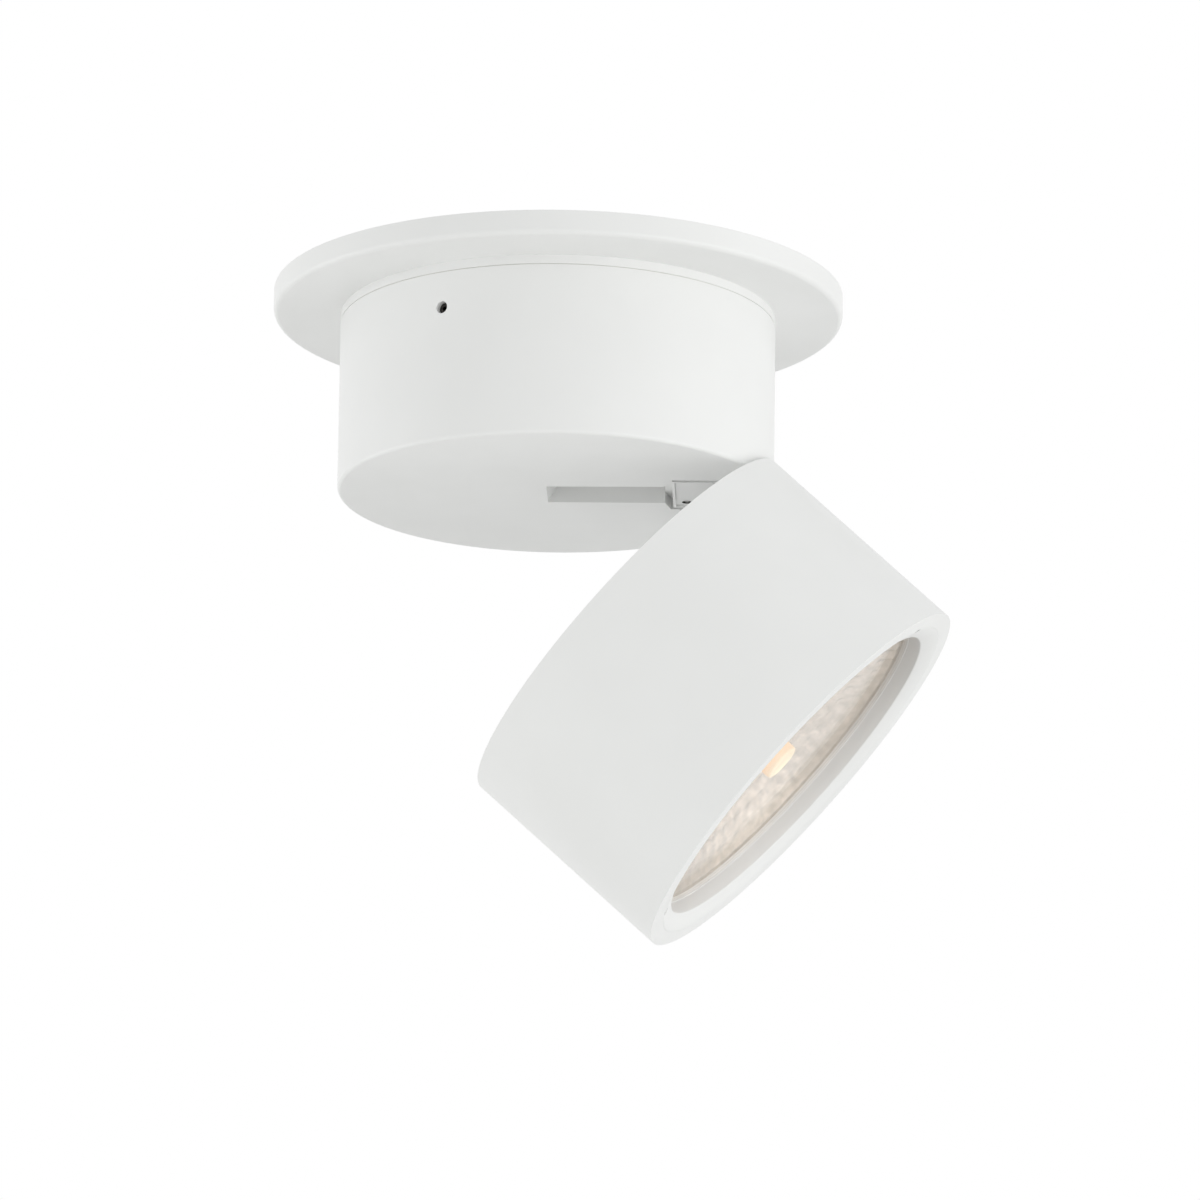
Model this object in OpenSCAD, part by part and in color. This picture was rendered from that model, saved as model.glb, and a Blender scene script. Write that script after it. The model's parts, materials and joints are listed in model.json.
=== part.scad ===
// Adjustable flush ceiling light: a round ceiling plate, a drum that turns under it
// and a lamp head that tilts on a hinge set into the drum's underside.
// Millimetres. The origin is the centre of the plate's ceiling side, +Z is up.
// The head is drawn folded up under the drum and then swung out by head_tilt.

/* [Ceiling plate] */
// Outer diameter of the ceiling plate
canopy_d = 144; // [136:1:160]
// Height of the ceiling plate
canopy_h = 6.2; // [6:0.1:9]
// Thickness of the plate's floor
canopy_floor = 2.5; // [2:0.1:2.6]
// Thickness of the plate's rim
canopy_rim = 2.5; // [1.5:0.1:5]
// Rounding of the plate's lower edge
canopy_edge_r = 1.4; // [0.6:0.1:1.8]
// Diameter of the wire hole in the plate's grommet
supply_d = 10; // [8:0.5:12]
// Thickness of the supply grommet's rubber
supply_rubber = 2; // [1.5:0.1:2.5]

/* [Mounting bar] */
// Length of the mounting bar past the middle of each slot
bar_end = 9.6; // [8.5:0.1:14]
// Width of the mounting bar
bar_w = 22; // [20:0.5:26]
// Thickness of the mounting bar
bar_t = 2; // [1.5:0.1:2.4]
// Distance between the ceiling box screws
box_spacing = 88.9; // [82:0.1:92]
// Width of the slots for the ceiling box screws
box_slot_w = 4.8; // [4.3:0.1:5.2]
// End to end length of the slots
box_slot_l = 10; // [7:0.5:12]
// Distance between the two screws that hold the plate to the bar
canopy_screw_spacing = 50; // [44:1:56]

/* [Swivel collar] */
// Visible height of the collar between the plate and the drum
collar_h = 2.3; // [1.5:0.1:4]
// Height of the spigot below the visible ring
spigot_h = 13; // [12:0.5:14.5]
// Wall of the spigot
spigot_wall = 3; // [2.6:0.1:3.6]
// Depth of the groove for the set screw tips
groove_depth = 1.5; // [1:0.1:1.8]
// Radius at which the collar's screws stand
lug_screw_r = 44.5; // [43.5:0.1:45]
// Thickness of the collar's screw lugs
lug_t = 3; // [2:0.1:4]
// Width of the stops that limit the turn
stop_w = 4; // [3:0.5:6]
// Height of the stops that limit the turn
stop_h = 4; // [3:0.5:5]

/* [Drum] */
// Outer diameter of the drum
drum_d = 110; // [108:0.5:114]
// Height of the drum
drum_h = 43.6; // [42:0.1:52]
// Side wall of the drum
drum_wall = 3; // [2.6:0.1:3.4]
// Floor of the drum
drum_floor = 3; // [2:0.1:4]
// Rounding of the drum's lower edge
drum_edge_r = 1; // [0.4:0.1:1.4]
// Height of the set screws below the drum's top edge
set_screw_drop = 9.1; // [7:0.1:9.4]
// Diameter of the set screws
set_screw_d = 3; // [2.5:0.1:4]
// Length of the set screws
set_screw_l = 3; // [2.6:0.1:3.4]
// Direction of the first set screw
set_screw_turn = 240.2; // [200:0.1:250]

/* [Slot and pocket under the drum] */
// Where the slot starts, past the drum's axis
slot_start = -2.1; // [-6:0.1:2]
// Width of the slot
slot_w = 14.4; // [13.8:0.1:16]
// Depth of the slot
slot_depth = 6; // [4.5:0.1:7]
// Length of the sloping end of the slot
slot_ramp = 3; // [1:0.5:5]
// Where the pocket starts
pocket_start = 27.4; // [26.8:0.1:28]
// Width of the pocket
pocket_w = 26.4; // [24.4:0.1:28]
// Length of the slanted corners where the slot opens into the pocket
pocket_slant = 1.5; // [0:0.1:1.8]
// Thickness of the walls and roofs round the slot and the pocket
pocket_wall = 2.4; // [1.6:0.1:3]

/* [Hinge] */
// Distance of the hinge pin from the drum's side
hinge_inset = 9.5; // [9.3:0.1:10]
// Height of the hinge pin above the drum's underside
hinge_rise = 3.2; // [3:0.1:3.6]
// Angle of the head from straight down
head_tilt = 47.6; // [0:0.1:50]
// Diameter of the hinge pin
pin_d = 4; // [3.4:0.1:4.2]
// Outer diameter of the hinge knuckle
knuckle_d = 8.4; // [7.8:0.1:8.8]
// Width of the hinge knuckle
knuckle_w = 12; // [10:0.1:13]
// Thickness of the friction washers
washer_t = 0.9; // [0.5:0.1:1.2]
// Where the hinge box starts
box_start = 29.5; // [29.3:0.1:29.8]
// Outer width of the hinge box
box_w = 22.8; // [22:0.1:23.4]
// Outer height of the hinge box
box_h = 10.1; // [9.8:0.1:11]
// Thickness of the hinge box's walls
box_wall = 0.7; // [0.5:0.1:1]
// Thickness of the hinge box's roof
box_roof = 1.5; // [1:0.1:2]
// Side of the screw lug in the box's corner
box_lug = 6.2; // [5:0.1:6.4]
// Recess of the screw lug above the drum's underside
box_lug_rise = 0.4; // [0.2:0.1:1]
// Distance of the box's screws from the start of the box
box_screw_in = 9.2; // [9.1:0.1:9.5]
// Distance between the box's screws
box_screw_spacing = 13; // [12:0.1:14]

/* [Wire passages] */
// Inner diameter of the bush where the wires enter the hinge box
bush_d = 3.6; // [3:0.1:4]
// Rubber thickness of the bush and of the cover's grommet
bush_rubber = 1; // [0.6:0.1:1.2]
// Inner diameter of the grommet in the head's back cover
cover_grommet_d = 5; // [4:0.1:6]

/* [Driver in the drum] */
// Length of the LED driver without its end caps
driver_l = 48; // [40:1:52]
// Width of the LED driver
driver_w = 34; // [28:1:36]
// Height of the LED driver
driver_h = 16; // [12:0.5:17]
// Length of each end cap of the driver
driver_cap_l = 8; // [6:0.5:9]
// Thickness of the end caps' screw ears
driver_ear_t = 2; // [1.5:0.1:3]
// Height of the driver above the drum's underside
driver_lift = 12; // [11:0.5:13]
// Distance of the driver's centre behind the drum's axis
driver_back = 17; // [16:0.5:19]

/* [Terminal block] */
// Length of the terminal block
terminal_l = 36; // [30:1:40]
// Depth of the terminal block
terminal_w = 14; // [12:0.5:16]
// Height of the terminal block
terminal_h = 11; // [8:0.5:12]
// Distance of the terminal block from the drum's axis
terminal_off = 26; // [24:0.5:28]

/* [Head shell] */
// Outer diameter of the head
head_d = 110; // [108:0.5:110]
// Length of the head
head_l = 59.2; // [59:0.1:80]
// Gap between the head and the drum when the head hangs straight down
head_gap = 2; // [1.8:0.1:2.4]
// Wall of the head's tube
head_wall = 2.5; // [2:0.1:3]
// Depth of the hollow at the head's back
recess_depth = 5.5; // [5.2:0.1:6.5]
// Width of the narrow flat on the back edge
lip_land = 0.5; // [0.4:0.05:0.6]
// Slope of the inside of the back edge, from the head's axis
lip_slope = 44; // [42:0.5:45]
// Wall round the hollow back
recess_wall = 4; // [3.6:0.1:4.4]
// Width of the inner ledge that the back cover sits on
cover_ledge = 3; // [2.5:0.1:3.5]
// Thickness of the inner ledge
cover_ledge_t = 2; // [1.5:0.1:3]
// Diameter of the opening in the head's flat front edge
front_open_d = 101; // [99.6:0.1:101.4]
// Thickness of the lens seat
seat_t = 1.2; // [0.8:0.1:2]

/* [Head back] */
// Thickness of the back cover
cover_t = 3; // [2:0.1:4]
// Radius at which the back cover's screws stand
cover_screw_r = 48.2; // [47.6:0.1:48.4]
// Radius of the screw posts under the back cover
cover_post_r = 3.4; // [3:0.1:4]
// Length of the screw posts under the back cover
cover_post_l = 8; // [6:0.5:10]
// Thickness of the hinge arm's foot
foot_t = 2.5; // [2:0.1:3]
// Width of the hinge arm's foot
foot_w = 20; // [19:0.5:22]
// Where the foot starts, from the head's axis
foot_start = 27; // [26.5:0.1:28]
// Where the foot ends, from the head's axis
foot_end = 47; // [46:0.1:47.2]
// Distance from the pin to the outer side of the arm's neck
neck_out = 0.6; // [0.4:0.1:0.7]
// Distance from the pin to the inner side of the arm's neck
neck_in = 3.7; // [3:0.1:3.9]
// Width of the wire duct
duct_w = 12.8; // [11:0.1:13]
// Where the wire duct starts, from the head's axis
duct_start = 0; // [-1:0.1:3]
// Where the wire duct ends, from the head's axis
duct_end = 25.5; // [22:0.1:26]
// Height of the wire duct above the head's back edge
duct_rise = 3.4; // [2:0.1:3.6]
// Wall of the wire duct
duct_wall = 1.2; // [0.8:0.1:1.6]

/* [Light source] */
// Diameter of the heat sink
sink_d = 86; // [70:0.5:86.5]
// Thickness of the heat sink's plate
sink_t = 5; // [3:0.1:7]
// Height of the heat sink's fins
fin_h = 14.6; // [8:0.1:15]
// Thickness of a fin
fin_t = 1.6; // [1.2:0.1:2.4]
// Distance from one fin to the next
fin_pitch = 6.4; // [5:0.1:9]
// Diameter of the LED board
board_d = 32; // [30:0.5:38]
// Thickness of the LED board
board_t = 1.6; // [1:0.1:2]
// Diameter of the light emitting face
emitter_d = 9; // [7:0.5:9.5]
// Thickness of the light emitting face
emitter_t = 0.8; // [0.5:0.1:1.2]
// Thickness of the emitter's holder
holder_t = 2; // [1.5:0.1:2.5]
// Diameter of the light guide that carries the light up to the reflector's focus
guide_d = 10; // [9:0.1:11]
// Width of the light guide's foot, held under the holder
guide_foot = 2; // [1.5:0.1:2.4]
// Thickness of the light guide's foot
guide_foot_t = 1; // [0.8:0.1:1.2]

/* [Reflector and glass] */
// Diameter of the reflector's small end
reflector_neck_d = 17; // [16:0.1:18]
// Length of the reflector's neck
reflector_neck_l = 1.4; // [1.3:0.1:2]
// Thickness of the reflector
reflector_t = 1.2; // [0.8:0.1:1.3]
// Inner diameter of the retaining ring
ring_d = 91.4; // [89.5:0.1:92]
// Length of the retaining ring
ring_l = 5.5; // [4.5:0.1:7]
// Depth of the sloping front face of the retaining ring
ring_bevel = 1.6; // [1:0.1:2]
// Width of the retaining ring's flat front edge
ring_land = 0.4; // [0.3:0.1:0.6]
// Width of the key notches in the retaining ring
notch_w = 2; // [1.6:0.1:3]
// Thickness of the front glass
glass_t = 2; // [1.6:0.1:3]
// Thickness of the lens gasket
gasket_t = 0.7; // [0.5:0.1:1]

/* [Small screws] */
// Thread diameter of the screws that hold the ceiling plate
m4_d = 4; // [3.5:0.1:4.2]
// Thread diameter of the middle sized screws
m3_d = 3; // [2.6:0.1:3.2]
// Thread diameter of the small screws
m2_d = 2.5; // [2:0.1:2.6]

/* [Clearances] */
// Gap between the drum's top edge and the collar, nearly filled by the slide ring
pan_gap = 0.2; // [0.2:0.05:0.6]
// Radial gap between the spigot and the drum
spigot_gap = 0.4; // [0.3:0.05:0.6]
// Gap round the tips of the set screws
tip_gap = 0.3; // [0.2:0.05:0.4]
// Radial clearance of screws and pins in their holes
hole_gap = 0.05; // [0.03:0.01:0.1]
// Clearance round pieces that drop into a seat
seat_gap = 0.2; // [0.1:0.05:0.4]

/* [Hidden] */
$fn = 96;
// Overlap used where one shape is cut from another
eps = 0.5;
// Number of steps in a rounded edge
edge_steps = 6;

// Levels from the ceiling down
z_cavity = canopy_floor - canopy_h;
z_collar = -canopy_h;
z_spigot = z_collar - collar_h;
z_drum_top = z_spigot - pan_gap;
z_drum = z_drum_top - drum_h;
z_set_screw = z_drum_top - set_screw_drop;
z_spigot_end = z_spigot - spigot_h;

// Radii of the swivel
canopy_r = canopy_d / 2;
bar_l = box_spacing + 2 * bar_end;
bar_clear = 1;
drum_r = drum_d / 2;
drum_bore_r = drum_r - drum_wall;
spigot_r = drum_bore_r - spigot_gap;
spigot_bore_r = spigot_r - spigot_wall;
groove_r = spigot_r - groove_depth;
groove_w = set_screw_d + 2 * tip_gap;
slide_ring_r = drum_r - seat_gap;
collar_lug_count = 3;
lug_r = 4;
screw_boss_r = 3;
screw_boss_h = 1;
stop_reach = 4;

// Hinge pin, from the drum's underside
pin_x = drum_r - hinge_inset;
pin_r = pin_d / 2;
knuckle_r = knuckle_d / 2;
arm_bush_t = 0.9;
bush_out_r = pin_r + hole_gap + arm_bush_t;
pin_boss_r = knuckle_r - 2 * seat_gap;
washer_r = pin_boss_r - seat_gap;
washer_side = knuckle_w / 2 + hole_gap;
boss_side = washer_side + washer_t + hole_gap;
pin_len = box_w - 2 * hole_gap;
box_end_r = drum_bore_r - tip_gap;
box_screw_l = box_roof + pocket_wall;
earth_x = box_start + (box_wall + box_lug) / 2;
earth_y = (box_w - box_wall - box_lug) / 2;
earth_head_r = 1.9;
earth_slot_w = 0.4;

// Screw sizes
m4_r = m4_d / 2;
m3_r = m3_d / 2;
m2_r = m2_d / 2;
head_ratio = 1.9;
socket_ratio = 0.9;
socket_floor = 0.4;
screw_tip_gap = 1;
small_fn = 48;
hex_fn = 6;
m4_head_h = 2.4;
m3_head_h = 1.8;
m2_head_h = 1.4;

// Wire passages
bush_r = bush_d / 2;
bush_hole_r = bush_r + bush_rubber;
bush_lip = 0.8;
wire_x = box_start + box_wall + bush_hole_r + bush_lip + hole_gap;
supply_r = supply_d / 2;
supply_hole_r = supply_r + supply_rubber;
cover_grommet_r = cover_grommet_d / 2;
cover_hole_r = cover_grommet_r + bush_rubber;
grommet_x = (duct_start + duct_end) / 2;

// Terminal block with three poles
z_terminal = z_collar - terminal_h;
pole_pitch = terminal_l / 3;
terminal_y = terminal_off + terminal_w / 2;
clamp_y = terminal_w / 4;
clamp_level = z_terminal + terminal_h / 2;
clamp_hole_r = m2_r * head_ratio;
clamp_slot_w = 0.7;
clamp_spots = [
    for (i = [-1:1])
        for (side = [-1, 1])
            [i * pole_pitch, terminal_y + side * clamp_y]
];

// Driver
driver_ear_w = 9;
driver_post_r = 3.2;
driver_ear_l = 9;
driver_screw_y = driver_l / 2 + driver_cap_l + driver_ear_l / 2;
driver_screw_l = 7;

// Head, from the middle of its back edge, with its axis down
head_r = head_d / 2;
recess_r = head_r - recess_wall;
lip_depth = (recess_wall - lip_land) / tan(lip_slope);
cover_r = recess_r - seat_gap;
cover_front = recess_depth + cover_t;
ledge_front = cover_front + cover_ledge_t;
cover_web_w = 4.8;
head_bore_r = head_r - head_wall;
front_r = front_open_d / 2;
ring_out_r = front_r - hole_gap;
ring_r = ring_d / 2;
lens_r = front_r - seat_gap;
glass_front = head_l - ring_l;
gasket_front = glass_front - glass_t;
flange_front = gasket_front - gasket_t;
seat_front = flange_front - reflector_t;
seat_back = seat_front - seat_t;
bowl_step = 0.5;
bowl_r = ring_r - bowl_step;
seat_r = bowl_r + seat_gap;
lens_edge_r = ring_r - seat_gap;
sink_fins_back = cover_front + bush_lip + seat_gap;
sink_back = sink_fins_back + fin_h;
sink_front = sink_back + sink_t;
board_front = sink_front + board_t;
emitter_front = board_front + emitter_t;
holder_front = board_front + holder_t;
bowl_back = holder_front + reflector_neck_l;
neck_r = reflector_neck_d / 2;
guide_r = guide_d / 2;
guide_foot_r = guide_r + guide_foot;
bowl_steps = 16;
bowl_length = flange_front - bowl_back;
sink_r = sink_d / 2;
sink_post_r = 4;
sink_post_in = 11;
sink_post_ring = sink_r - sink_post_in;
fin_rows = floor(sink_r / fin_pitch);
back_screws = [45, 135, 225, 315];
sink_screw_grip = 8;
pin_above_head = hinge_rise + head_gap;
arm_screw_edge = 3.3;
arm_screw_room = 4.2;
arm_screw_first = foot_start + arm_screw_edge;
arm_screw_second = pin_x - neck_in - arm_screw_room;
arm_screw_side = foot_w / 2 - arm_screw_edge;
arm_rib_t = 3;
arm_rib_reach = 4;
duct_tab_w = 5.2;
duct_tab_l = 8;
duct_tab_t = 1.6;
duct_screw_y = duct_w / 2 + m2_r * head_ratio + seat_gap;
holder_screw_in = 2.6;
holder_screw_l = holder_front - m2_head_h - sink_back - screw_tip_gap;
holder_screw_r = board_d / 2 - holder_screw_in;
notch_l = 1.2;
notch_turns = [-27, -176];

plate_white = [0.93, 0.93, 0.93];
steel = [0.72, 0.73, 0.75];
dark_steel = [0.16, 0.16, 0.17];
aluminium = [0.80, 0.81, 0.82];
black_rubber = [0.10, 0.10, 0.10];
bronze = [0.62, 0.48, 0.28];
pale_plastic = [0.88, 0.88, 0.85];
warm_metal = [0.86, 0.76, 0.60];

// Points of a quarter circle, for a rounded edge in a turned profile
function edge_arc(cx, cy, r, from) =
    [for (i = [0:edge_steps]) [cx, cy] + r * unit(from + 90 * i / edge_steps)];

// A direction in the plane
function unit(angle) = [cos(angle), sin(angle)];

// Radius of the reflector's bowl at a share of its length
function bowl_radius(t) = sqrt(neck_r * neck_r + (bowl_r * bowl_r - neck_r * neck_r) * t);

// Points along the bowl, moved back by a distance
function bowl_curve(back) =
    [
        for (i = [0:bowl_steps])
            [bowl_radius(i / bowl_steps), back - bowl_back - bowl_length * i / bowl_steps]
    ];

// A flat ring between two levels
module ring(r_out, r_in, z_low, z_high) {
    translate([0, 0, z_low])
        difference() {
            cylinder(r = r_out, h = z_high - z_low);
            translate([0, 0, -eps])
                cylinder(r = r_in, h = z_high - z_low + 2 * eps);
        }
}

// A round bar between two levels
module rod(r, z_low, z_high) {
    translate([0, 0, z_low])
        cylinder(r = r, h = z_high - z_low, $fn = small_fn);
}

// A block between two corners
module block(a, b) {
    translate(a)
        cube(b - a);
}

// A screw with its head above z = 0 and its shank below
module screw(r, l, head_h) {
    difference() {
        union() {
            rod(r, -l, eps);
            rod(r * head_ratio, 0, head_h);
        }
        translate([0, 0, head_h * socket_floor])
            cylinder(r = r * socket_ratio, h = head_h, $fn = hex_fn);
    }
}

// The same screw pointing up, with its head below z = 0
module screw_up(r, l, head_h) {
    rotate([180, 0, 0])
        screw(r, l, head_h);
}

// Children drawn from the drum's underside
module in_drum() {
    translate([0, 0, z_drum])
        children();
}

// Children drawn from the middle of the head's back edge, swung out about the pin
module in_head() {
    translate([pin_x, 0, z_drum + hinge_rise])
        rotate([0, -head_tilt, 0])
            translate([-pin_x, 0, -pin_above_head])
                children();
}

module canopy_plate() {
    color(plate_white)
        difference() {
            union() {
                rotate_extrude()
                    polygon(concat(
                        [[0, z_cavity], [0, z_collar]],
                        edge_arc(canopy_r - canopy_edge_r, z_collar + canopy_edge_r, canopy_edge_r, -90),
                        [[canopy_r, 0], [canopy_r - canopy_rim, 0], [canopy_r - canopy_rim, z_cavity]]
                    ));
                for (a = [0:collar_lug_count - 1])
                    rotate([0, 0, 90 + a * 360 / collar_lug_count])
                        translate([lug_screw_r, 0, 0])
                            rod(screw_boss_r, z_cavity - eps, z_cavity + screw_boss_h);
            }
            rod(supply_hole_r, z_collar - eps, z_cavity + eps);
            for (side = [-1, 1])
                translate([side * canopy_screw_spacing / 2, 0, 0])
                    rod(m4_r + hole_gap, z_collar - eps, z_cavity + eps);
            for (a = [0:collar_lug_count - 1])
                rotate([0, 0, 90 + a * 360 / collar_lug_count])
                    translate([lug_screw_r, 0, 0])
                        rod(m3_r + hole_gap, z_collar - eps, z_cavity + screw_boss_h + eps);
            for (side = [-1, 1])
                translate([side * pole_pitch / 2, terminal_y, 0])
                    rod(m2_r + hole_gap, z_collar - eps, z_cavity + eps);
        }
}

module mounting_bar() {
    color(steel)
        difference() {
            block([-bar_l / 2, -bar_w / 2, -bar_t], [bar_l / 2, bar_w / 2, 0]);
            rod(supply_hole_r + bar_clear, -bar_t - eps, eps);
            for (side = [-1, 1]) {
                translate([side * box_spacing / 2, 0, 0])
                    box_slot();
                translate([side * canopy_screw_spacing / 2, 0, 0])
                    rod(m4_r + hole_gap, -bar_t - eps, eps);
            }
        }
}

module box_slot() {
    straight = (box_slot_l - box_slot_w) / 2;
    for (side = [-1, 1])
        translate([side * straight, 0, 0])
            rod(box_slot_w / 2, -bar_t - eps, eps);
    block([-straight, -box_slot_w / 2, -bar_t - eps], [straight, box_slot_w / 2, eps]);
}

module canopy_screws() {
    color(steel)
        for (side = [-1, 1])
            translate([side * canopy_screw_spacing / 2, 0, z_collar])
                screw_up(m4_r, canopy_h, m4_head_h);
}

module swivel_collar() {
    color(plate_white)
        difference() {
            union() {
                ring(drum_r, spigot_bore_r, z_spigot, z_collar);
                ring(spigot_r, spigot_bore_r, z_spigot_end, z_spigot + eps);
                for (a = [0:collar_lug_count - 1])
                    rotate([0, 0, 90 + a * 360 / collar_lug_count])
                        collar_lug();
                intersection() {
                    ring(spigot_r, spigot_bore_r, z_spigot_end - stop_h, z_spigot_end + eps);
                    block([0, -stop_w / 2, z_spigot_end - stop_h], [drum_r, stop_w / 2, z_spigot_end + eps]);
                }
            }
            ring(drum_r, groove_r, z_set_screw - groove_w / 2, z_set_screw + groove_w / 2);
            for (a = [0:collar_lug_count - 1])
                rotate([0, 0, 90 + a * 360 / collar_lug_count])
                    translate([lug_screw_r, 0, 0])
                        rod(m3_r + hole_gap, z_collar - lug_t - eps, z_collar + eps);
        }
}

module collar_lug() {
    translate([lug_screw_r, 0, 0])
        rod(lug_r, z_collar - lug_t, z_collar);
    block([lug_screw_r, -lug_r, z_collar - lug_t], [spigot_bore_r + eps, lug_r, z_collar]);
}

// A thin ring that the drum slides on, just inside the visible seam
module slide_ring() {
    color(pale_plastic)
        ring(slide_ring_r, spigot_r + hole_gap, z_drum_top + hole_gap, z_spigot);
}

module collar_screws() {
    color(steel)
        for (a = [0:collar_lug_count - 1])
            rotate([0, 0, 90 + a * 360 / collar_lug_count])
                translate([lug_screw_r, 0, z_collar - lug_t])
                    screw_up(m3_r, lug_t + canopy_floor + screw_boss_h, m3_head_h);
}

module supply_grommet() {
    lip = 1;
    color(black_rubber)
        difference() {
            union() {
                rod(supply_hole_r, z_collar - lip, z_cavity + lip);
                ring(supply_hole_r + lip, supply_r, z_collar - lip, z_collar);
                ring(supply_hole_r + lip, supply_r, z_cavity, z_cavity + lip);
            }
            rod(supply_r, z_collar - 2 * lip, z_cavity + 2 * lip);
        }
}

module terminal_block() {
    color(pale_plastic)
        difference() {
            block(
                [-terminal_l / 2, terminal_off, z_terminal],
                [terminal_l / 2, terminal_off + terminal_w, z_collar]
            );
            for (p = clamp_spots)
                translate([p[0], p[1], 0])
                    rod(clamp_hole_r, z_terminal - eps, clamp_level);
            for (i = [-1:1])
                translate([i * pole_pitch, terminal_off - eps, clamp_level + clamp_hole_r])
                    rotate([-90, 0, 0])
                        rod(m2_r, 0, terminal_w + 2 * eps);
            for (side = [-1, 1])
                translate([side * pole_pitch / 2, terminal_y, 0])
                    rod(m2_r + hole_gap, z_terminal - eps, z_collar + eps);
        }
}

module terminal_clamp_screws() {
    color(steel)
        for (p = clamp_spots)
            translate([p[0], p[1], clamp_level - terminal_h / 4])
                difference() {
                    rod(clamp_hole_r - hole_gap, 0, terminal_h / 4);
                    block(
                        [-clamp_hole_r, -clamp_slot_w / 2, -eps],
                        [clamp_hole_r, clamp_slot_w / 2, clamp_slot_w]
                    );
                }
}

module terminal_fixing_screws() {
    color(steel)
        for (side = [-1, 1])
            translate([side * pole_pitch / 2, terminal_y, z_terminal])
                screw_up(m2_r, terminal_h + canopy_floor, m2_head_h);
}

module drum_shell() {
    color(plate_white)
        in_drum()
            difference() {
                union() {
                    rotate_extrude()
                        polygon(concat(
                            [[0, drum_floor], [0, 0]],
                            edge_arc(drum_r - drum_edge_r, drum_edge_r, drum_edge_r, -90),
                            [[drum_r, drum_h], [drum_bore_r, drum_h], [drum_bore_r, drum_floor]]
                        ));
                    block(
                        [slot_start - pocket_wall, -slot_w / 2 - pocket_wall, drum_floor - eps],
                        [pocket_start + eps, slot_w / 2 + pocket_wall, slot_depth + pocket_wall]
                    );
                    intersection() {
                        block(
                            [pocket_start - pocket_wall, -pocket_w / 2 - pocket_wall, drum_floor - eps],
                            [drum_r, pocket_w / 2 + pocket_wall, box_h + pocket_wall]
                        );
                        rod(drum_bore_r + eps, 0, drum_h);
                    }
                    for (side = [-1, 1])
                        translate([-driver_back, side * driver_screw_y, 0])
                            rod(driver_post_r, drum_floor - eps, driver_lift);
                    pan_rib();
                }
                slot_cut();
                pocket_cut();
                translate([wire_x, 0, 0])
                    rod(bush_hole_r, box_h - eps, box_h + pocket_wall + eps);
                box_screw_spots()
                    rod(m3_r + hole_gap, box_h - eps, box_h + pocket_wall + eps);
                translate([earth_x, earth_y, 0])
                    rod(m2_r + hole_gap, box_h - eps, box_h + pocket_wall + eps);
                for (side = [-1, 1])
                    translate([-driver_back, side * driver_screw_y, 0])
                        rod(m3_r + hole_gap, driver_lift - driver_screw_l, driver_lift + eps);
                set_screw_spots()
                    rod(set_screw_d / 2 + hole_gap, drum_bore_r - eps, drum_r + eps);
            }
}

// The rib inside the drum that meets the collar's stop at each end of the turn
module pan_rib() {
    top = z_spigot_end - z_drum - eps;
    intersection() {
        ring(drum_bore_r + eps, spigot_bore_r, top - stop_reach, top);
        block([-drum_r, -stop_w / 2, 0], [0, stop_w / 2, drum_h]);
    }
}

module slot_cut() {
    translate([0, slot_w / 2, 0])
        rotate([90, 0, 0])
            linear_extrude(slot_w)
                polygon([
                    [slot_start - eps * slot_ramp / slot_depth, -eps],
                    [slot_start + slot_ramp, slot_depth],
                    [pocket_start + pocket_slant + eps, slot_depth],
                    [pocket_start + pocket_slant + eps, -eps]
                ]);
}

module pocket_cut() {
    intersection() {
        translate([0, 0, -eps])
            linear_extrude(box_h + eps)
                polygon([
                    [pocket_start, -slot_w / 2],
                    [pocket_start + pocket_slant, -pocket_w / 2],
                    [drum_r, -pocket_w / 2],
                    [drum_r, pocket_w / 2],
                    [pocket_start + pocket_slant, pocket_w / 2],
                    [pocket_start, slot_w / 2]
                ]);
        rod(drum_bore_r, -2 * eps, drum_h);
    }
}

// Children at each set screw, with the drum's radius along Z
module set_screw_spots() {
    for (a = [0:2])
        rotate([0, 0, set_screw_turn + a * 120])
            translate([0, 0, drum_h - set_screw_drop])
                rotate([0, 90, 0])
                    children();
}

module set_screws() {
    tip = groove_r + tip_gap;
    color(dark_steel)
        in_drum()
            set_screw_spots()
                difference() {
                    rod(set_screw_d / 2, tip, tip + set_screw_l);
                    translate([0, 0, tip + set_screw_l / 2])
                        cylinder(d = set_screw_d / 2, h = set_screw_l, $fn = hex_fn);
                }
}

// Children at each of the two screws in the hinge box's roof
module box_screw_spots() {
    for (side = [-1, 1])
        translate([box_start + box_screw_in, side * box_screw_spacing / 2, 0])
            children();
}

module hinge_box() {
    color(aluminium)
        in_drum()
            difference() {
                union() {
                    difference() {
                        box_body(box_end_r, box_start, box_w / 2, 0, box_h);
                        box_body(
                            box_end_r - box_wall, box_start + box_wall, box_w / 2 - box_wall,
                            -eps, box_h - box_roof
                        );
                    }
                    block(
                        [box_start + box_wall - eps / 2, box_w / 2 - box_lug, box_lug_rise],
                        [box_start + box_lug, box_w / 2 - box_wall + eps / 2, box_h - eps]
                    );
                    for (turn = [0, 1])
                        mirror([0, turn, 0])
                            pin_boss();
                }
                translate([pin_x, 0, hinge_rise])
                    rotate([90, 0, 0])
                        rod(pin_r + hole_gap / 2, -box_w, box_w);
                box_screw_spots()
                    rod(m3_r + hole_gap, 0, box_h + eps);
                translate([wire_x, 0, 0])
                    rod(bush_hole_r, 0, box_h + eps);
                translate([earth_x, earth_y, 0]) {
                    rod(m2_r + hole_gap, 0, box_h + eps);
                    translate([0, 0, box_lug_rise - eps])
                        cylinder(
                            r1 = earth_head_r + eps,
                            r2 = m2_r,
                            h = earth_head_r - m2_r + eps,
                            $fn = small_fn
                        );
                }
            }
}

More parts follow.
